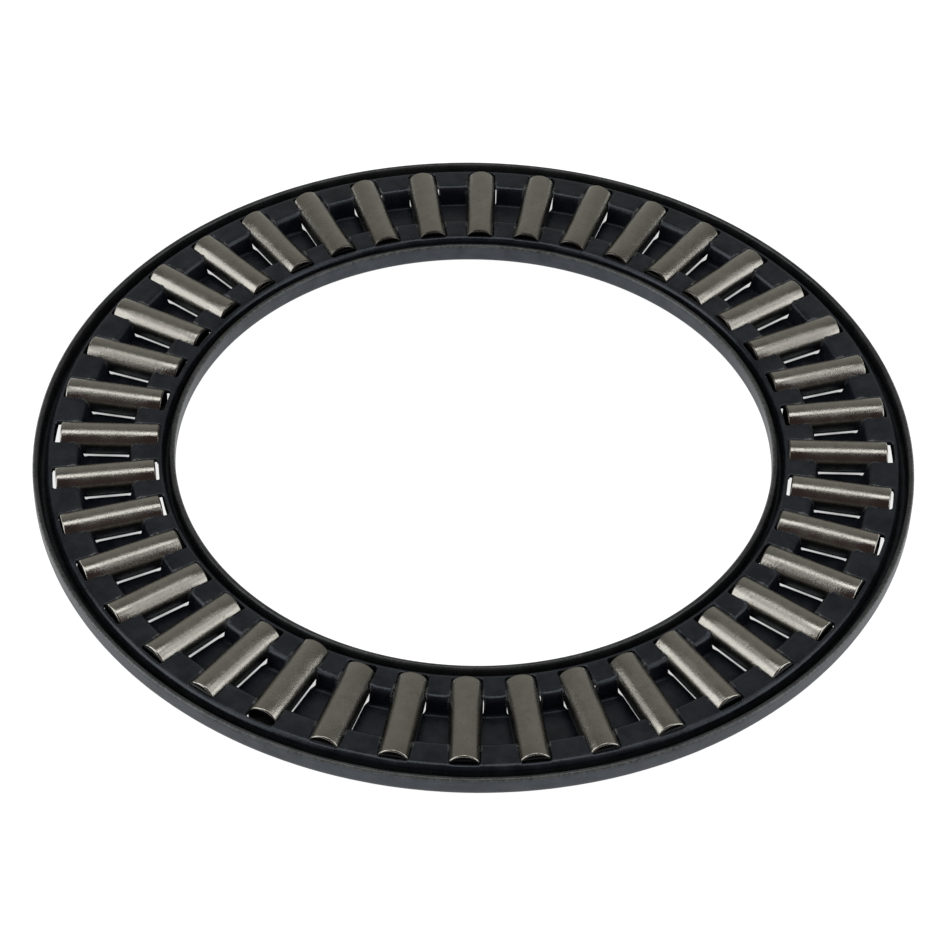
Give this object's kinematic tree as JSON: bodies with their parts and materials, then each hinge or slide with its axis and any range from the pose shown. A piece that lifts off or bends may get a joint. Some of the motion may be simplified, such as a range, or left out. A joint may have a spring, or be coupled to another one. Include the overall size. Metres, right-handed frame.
{
  "type": "thrust needle roller bearing",
  "caption": "Thin thrust bearing: a flat ring-shaped pressed steel cage with radial pockets, each holding a needle roller that turns on its own radial axis.",
  "frame": {"origin": "middle of the bearing, on its axis and at the height of the roller axes", "axes": "+Z along the bearing's axis, out of the side where the cage's rims end; +X along the axis of roller_01"},
  "size_m": [0.0518, 0.0518, 0.0018],
  "materials": {
    "cage_black_steel": "thin blue-black oxide on pressed sheet steel, satin",
    "roller_steel": "fine ground hardened steel, satin"
  },
  "bodies": {
    "cage": {"cage": "cage_black_steel"},
    "roller_01": {"roller_01": "roller_steel"},
    "roller_02": {"roller_02": "roller_steel"},
    "roller_03": {"roller_03": "roller_steel"},
    "roller_04": {"roller_04": "roller_steel"},
    "roller_05": {"roller_05": "roller_steel"},
    "roller_06": {"roller_06": "roller_steel"},
    "roller_07": {"roller_07": "roller_steel"},
    "roller_08": {"roller_08": "roller_steel"},
    "roller_09": {"roller_09": "roller_steel"},
    "roller_10": {"roller_10": "roller_steel"},
    "roller_11": {"roller_11": "roller_steel"},
    "roller_12": {"roller_12": "roller_steel"},
    "roller_13": {"roller_13": "roller_steel"},
    "roller_14": {"roller_14": "roller_steel"},
    "roller_15": {"roller_15": "roller_steel"},
    "roller_16": {"roller_16": "roller_steel"},
    "roller_17": {"roller_17": "roller_steel"},
    "roller_18": {"roller_18": "roller_steel"},
    "roller_19": {"roller_19": "roller_steel"},
    "roller_20": {"roller_20": "roller_steel"},
    "roller_21": {"roller_21": "roller_steel"},
    "roller_22": {"roller_22": "roller_steel"},
    "roller_23": {"roller_23": "roller_steel"},
    "roller_24": {"roller_24": "roller_steel"},
    "roller_25": {"roller_25": "roller_steel"},
    "roller_26": {"roller_26": "roller_steel"},
    "roller_27": {"roller_27": "roller_steel"},
    "roller_28": {"roller_28": "roller_steel"},
    "roller_29": {"roller_29": "roller_steel"},
    "roller_30": {"roller_30": "roller_steel"},
    "roller_31": {"roller_31": "roller_steel"},
    "roller_32": {"roller_32": "roller_steel"},
    "roller_33": {"roller_33": "roller_steel"},
    "roller_34": {"roller_34": "roller_steel"},
    "roller_35": {"roller_35": "roller_steel"},
    "roller_36": {"roller_36": "roller_steel"},
    "roller_37": {"roller_37": "roller_steel"},
    "roller_38": {"roller_38": "roller_steel"},
    "roller_39": {"roller_39": "roller_steel"},
    "roller_40": {"roller_40": "roller_steel"}
  },
  "joints": [
    {"name": "roller_01_spin", "type": "hinge", "parent": "cage", "child": "roller_01", "pos_m": [0.02175, 0, 0], "axis": [1, 0, 0], "continuous": true},
    {"name": "roller_02_spin", "type": "hinge", "parent": "cage", "child": "roller_02", "pos_m": [0.02148, 0.0034, 0], "axis": [0.9877, 0.1564, 0], "continuous": true},
    {"name": "roller_03_spin", "type": "hinge", "parent": "cage", "child": "roller_03", "pos_m": [0.02069, 0.00672, 0], "axis": [0.9511, 0.309, 0], "continuous": true},
    {"name": "roller_04_spin", "type": "hinge", "parent": "cage", "child": "roller_04", "pos_m": [0.01938, 0.00987, 0], "axis": [0.891, 0.454, 0], "continuous": true},
    {"name": "roller_05_spin", "type": "hinge", "parent": "cage", "child": "roller_05", "pos_m": [0.0176, 0.01278, 0], "axis": [0.809, 0.5878, 0], "continuous": true},
    {"name": "roller_06_spin", "type": "hinge", "parent": "cage", "child": "roller_06", "pos_m": [0.01538, 0.01538, 0], "axis": [0.7071, 0.7071, 0], "continuous": true},
    {"name": "roller_07_spin", "type": "hinge", "parent": "cage", "child": "roller_07", "pos_m": [0.01278, 0.0176, 0], "axis": [0.5878, 0.809, 0], "continuous": true},
    {"name": "roller_08_spin", "type": "hinge", "parent": "cage", "child": "roller_08", "pos_m": [0.00987, 0.01938, 0], "axis": [0.454, 0.891, 0], "continuous": true},
    {"name": "roller_09_spin", "type": "hinge", "parent": "cage", "child": "roller_09", "pos_m": [0.00672, 0.02069, 0], "axis": [0.309, 0.9511, 0], "continuous": true},
    {"name": "roller_10_spin", "type": "hinge", "parent": "cage", "child": "roller_10", "pos_m": [0.0034, 0.02148, 0], "axis": [0.1564, 0.9877, 0], "continuous": true},
    {"name": "roller_11_spin", "type": "hinge", "parent": "cage", "child": "roller_11", "pos_m": [0, 0.02175, 0], "axis": [0, 1, 0], "continuous": true},
    {"name": "roller_12_spin", "type": "hinge", "parent": "cage", "child": "roller_12", "pos_m": [-0.0034, 0.02148, 0], "axis": [-0.1564, 0.9877, 0], "continuous": true},
    {"name": "roller_13_spin", "type": "hinge", "parent": "cage", "child": "roller_13", "pos_m": [-0.00672, 0.02069, 0], "axis": [-0.309, 0.9511, 0], "continuous": true},
    {"name": "roller_14_spin", "type": "hinge", "parent": "cage", "child": "roller_14", "pos_m": [-0.00987, 0.01938, 0], "axis": [-0.454, 0.891, 0], "continuous": true},
    {"name": "roller_15_spin", "type": "hinge", "parent": "cage", "child": "roller_15", "pos_m": [-0.01278, 0.0176, 0], "axis": [-0.5878, 0.809, 0], "continuous": true},
    {"name": "roller_16_spin", "type": "hinge", "parent": "cage", "child": "roller_16", "pos_m": [-0.01538, 0.01538, 0], "axis": [-0.7071, 0.7071, 0], "continuous": true},
    {"name": "roller_17_spin", "type": "hinge", "parent": "cage", "child": "roller_17", "pos_m": [-0.0176, 0.01278, 0], "axis": [-0.809, 0.5878, 0], "continuous": true},
    {"name": "roller_18_spin", "type": "hinge", "parent": "cage", "child": "roller_18", "pos_m": [-0.01938, 0.00987, 0], "axis": [-0.891, 0.454, 0], "continuous": true},
    {"name": "roller_19_spin", "type": "hinge", "parent": "cage", "child": "roller_19", "pos_m": [-0.02069, 0.00672, 0], "axis": [-0.9511, 0.309, 0], "continuous": true},
    {"name": "roller_20_spin", "type": "hinge", "parent": "cage", "child": "roller_20", "pos_m": [-0.02148, 0.0034, 0], "axis": [-0.9877, 0.1564, 0], "continuous": true},
    {"name": "roller_21_spin", "type": "hinge", "parent": "cage", "child": "roller_21", "pos_m": [-0.02175, 0, 0], "axis": [-1, 0, 0], "continuous": true},
    {"name": "roller_22_spin", "type": "hinge", "parent": "cage", "child": "roller_22", "pos_m": [-0.02148, -0.0034, 0], "axis": [-0.9877, -0.1564, 0], "continuous": true},
    {"name": "roller_23_spin", "type": "hinge", "parent": "cage", "child": "roller_23", "pos_m": [-0.02069, -0.00672, 0], "axis": [-0.9511, -0.309, 0], "continuous": true},
    {"name": "roller_24_spin", "type": "hinge", "parent": "cage", "child": "roller_24", "pos_m": [-0.01938, -0.00987, 0], "axis": [-0.891, -0.454, 0], "continuous": true},
    {"name": "roller_25_spin", "type": "hinge", "parent": "cage", "child": "roller_25", "pos_m": [-0.0176, -0.01278, 0], "axis": [-0.809, -0.5878, 0], "continuous": true},
    {"name": "roller_26_spin", "type": "hinge", "parent": "cage", "child": "roller_26", "pos_m": [-0.01538, -0.01538, 0], "axis": [-0.7071, -0.7071, 0], "continuous": true},
    {"name": "roller_27_spin", "type": "hinge", "parent": "cage", "child": "roller_27", "pos_m": [-0.01278, -0.0176, 0], "axis": [-0.5878, -0.809, 0], "continuous": true},
    {"name": "roller_28_spin", "type": "hinge", "parent": "cage", "child": "roller_28", "pos_m": [-0.00987, -0.01938, 0], "axis": [-0.454, -0.891, 0], "continuous": true},
    {"name": "roller_29_spin", "type": "hinge", "parent": "cage", "child": "roller_29", "pos_m": [-0.00672, -0.02069, 0], "axis": [-0.309, -0.9511, 0], "continuous": true},
    {"name": "roller_30_spin", "type": "hinge", "parent": "cage", "child": "roller_30", "pos_m": [-0.0034, -0.02148, 0], "axis": [-0.1564, -0.9877, 0], "continuous": true},
    {"name": "roller_31_spin", "type": "hinge", "parent": "cage", "child": "roller_31", "pos_m": [0, -0.02175, 0], "axis": [0, -1, 0], "continuous": true},
    {"name": "roller_32_spin", "type": "hinge", "parent": "cage", "child": "roller_32", "pos_m": [0.0034, -0.02148, 0], "axis": [0.1564, -0.9877, 0], "continuous": true},
    {"name": "roller_33_spin", "type": "hinge", "parent": "cage", "child": "roller_33", "pos_m": [0.00672, -0.02069, 0], "axis": [0.309, -0.9511, 0], "continuous": true},
    {"name": "roller_34_spin", "type": "hinge", "parent": "cage", "child": "roller_34", "pos_m": [0.00987, -0.01938, 0], "axis": [0.454, -0.891, 0], "continuous": true},
    {"name": "roller_35_spin", "type": "hinge", "parent": "cage", "child": "roller_35", "pos_m": [0.01278, -0.0176, 0], "axis": [0.5878, -0.809, 0], "continuous": true},
    {"name": "roller_36_spin", "type": "hinge", "parent": "cage", "child": "roller_36", "pos_m": [0.01538, -0.01538, 0], "axis": [0.7071, -0.7071, 0], "continuous": true},
    {"name": "roller_37_spin", "type": "hinge", "parent": "cage", "child": "roller_37", "pos_m": [0.0176, -0.01278, 0], "axis": [0.809, -0.5878, 0], "continuous": true},
    {"name": "roller_38_spin", "type": "hinge", "parent": "cage", "child": "roller_38", "pos_m": [0.01938, -0.00987, 0], "axis": [0.891, -0.454, 0], "continuous": true},
    {"name": "roller_39_spin", "type": "hinge", "parent": "cage", "child": "roller_39", "pos_m": [0.02069, -0.00672, 0], "axis": [0.9511, -0.309, 0], "continuous": true},
    {"name": "roller_40_spin", "type": "hinge", "parent": "cage", "child": "roller_40", "pos_m": [0.02148, -0.0034, 0], "axis": [0.9877, -0.1564, 0], "continuous": true}
  ]
}
